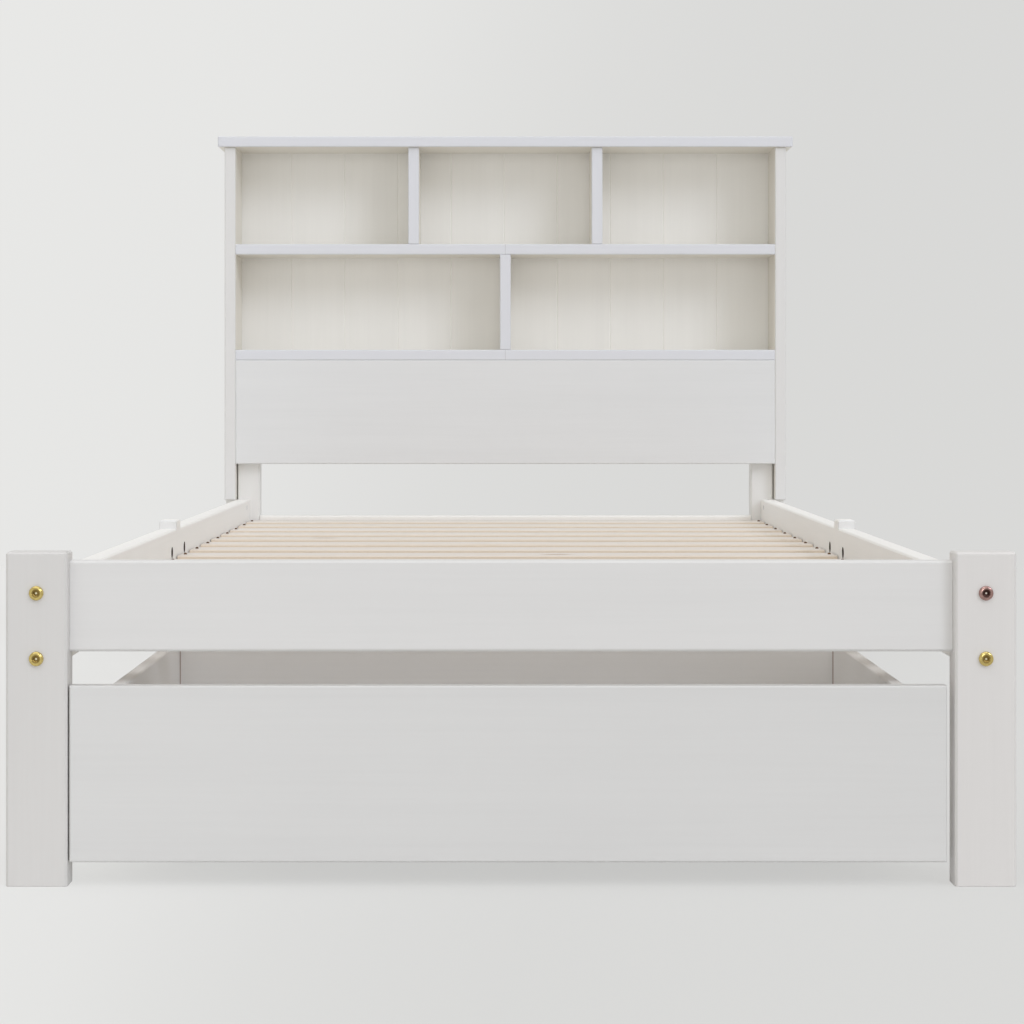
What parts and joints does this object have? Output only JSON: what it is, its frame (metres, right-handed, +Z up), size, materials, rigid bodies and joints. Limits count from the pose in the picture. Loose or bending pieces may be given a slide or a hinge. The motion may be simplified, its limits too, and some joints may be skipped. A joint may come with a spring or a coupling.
{
  "type": "bookcase headboard bed",
  "caption": "White timber bed with a slatted base, a bookcase headboard of open bays over a plain panel, and a roll-out drawer on castors at the foot.",
  "frame": {"origin": "on the floor, under the middle of the overall box", "axes": "+X to the right seen from the foot, +Y from the foot to the headboard, +Z up"},
  "size_m": [1.212, 2.2088, 1.1255],
  "materials": {
    "white_paint": "satin white paint on pine",
    "white_board": "white faced thin board",
    "bare_pine": "planed, pale, with grain and knots",
    "yellow_zinc": "yellow zinc plated steel",
    "bright_zinc": "bright zinc plated",
    "wheel_plastic": "moulded, slight sheen"
  },
  "bodies": {
    "frame": {"foot_leg_left": "white_paint", "foot_leg_right": "white_paint", "foot_rail": "white_paint", "side_rail_foot_left": "white_paint", "side_rail_foot_right": "white_paint", "side_rail_head_left": "white_paint", "side_rail_head_right": "white_paint", "mid_leg_left": "white_paint", "mid_leg_right": "white_paint", "slat_ledger_left": "white_paint", "slat_ledger_right": "white_paint", "head_leg_left": "white_paint", "head_leg_right": "white_paint", "head_rail": "white_paint", "slat_01": "bare_pine", "slat_02": "bare_pine", "slat_03": "bare_pine", "slat_04": "bare_pine", "slat_05": "bare_pine", "slat_06": "bare_pine", "slat_07": "bare_pine", "slat_08": "bare_pine", "slat_09": "bare_pine", "slat_10": "bare_pine", "slat_11": "bare_pine", "slat_12": "bare_pine", "slat_13": "bare_pine", "slat_14": "bare_pine", "slat_15": "bare_pine", "side_board_left": "white_paint", "side_board_right": "white_paint", "top_cap": "white_paint", "middle_shelf": "white_paint", "bottom_shelf": "white_paint", "lower_panel": "white_paint", "upper_divider_left": "white_paint", "upper_divider_right": "white_paint", "lower_divider": "white_paint", "back_boards": "white_paint", "rail_bolts": "yellow_zinc", "cross_dowels": "bright_zinc", "mid_leg_rods": "bright_zinc", "half_moon_nuts": "bright_zinc"},
    "drawer": {"drawer_front": "white_paint", "drawer_side_left": "white_paint", "drawer_side_right": "white_paint", "drawer_back": "white_paint", "drawer_floor": "white_board", "drawer_bearers": "white_paint", "castor_brackets": "bright_zinc", "castor_axles": "bright_zinc"},
    "wheel_front_left": {"castor_wheel_front_left": "wheel_plastic"},
    "wheel_front_right": {"castor_wheel_front_right": "wheel_plastic"},
    "wheel_rear_left": {"castor_wheel_rear_left": "wheel_plastic"},
    "wheel_rear_right": {"castor_wheel_rear_right": "wheel_plastic"}
  },
  "joints": [
    {"name": "drawer_slide", "type": "slide", "parent": "frame", "child": "drawer", "axis": [0, -1, 0], "range_m": [0, 0.45]},
    {"name": "wheel_front_left_spin", "type": "hinge", "parent": "drawer", "child": "wheel_front_left", "pos_m": [-0.3955, -0.9606, 0.018], "axis": [1, 0, 0], "range_deg": [0, 1440]},
    {"name": "wheel_front_right_spin", "type": "hinge", "parent": "drawer", "child": "wheel_front_right", "pos_m": [0.3885, -0.9606, 0.018], "axis": [1, 0, 0], "range_deg": [0, 1440]},
    {"name": "wheel_rear_left_spin", "type": "hinge", "parent": "drawer", "child": "wheel_rear_left", "pos_m": [-0.3955, -0.7536, 0.018], "axis": [1, 0, 0], "range_deg": [0, 1440]},
    {"name": "wheel_rear_right_spin", "type": "hinge", "parent": "drawer", "child": "wheel_rear_right", "pos_m": [0.3885, -0.7536, 0.018], "axis": [1, 0, 0], "range_deg": [0, 1440]}
  ],
  "couplings": [
    {"joint": "wheel_front_left_spin", "follows": "drawer_slide", "rad_per_m": 55.556},
    {"joint": "wheel_front_right_spin", "follows": "drawer_slide", "rad_per_m": 55.556},
    {"joint": "wheel_rear_left_spin", "follows": "drawer_slide", "rad_per_m": 55.556},
    {"joint": "wheel_rear_right_spin", "follows": "drawer_slide", "rad_per_m": 55.556}
  ]
}
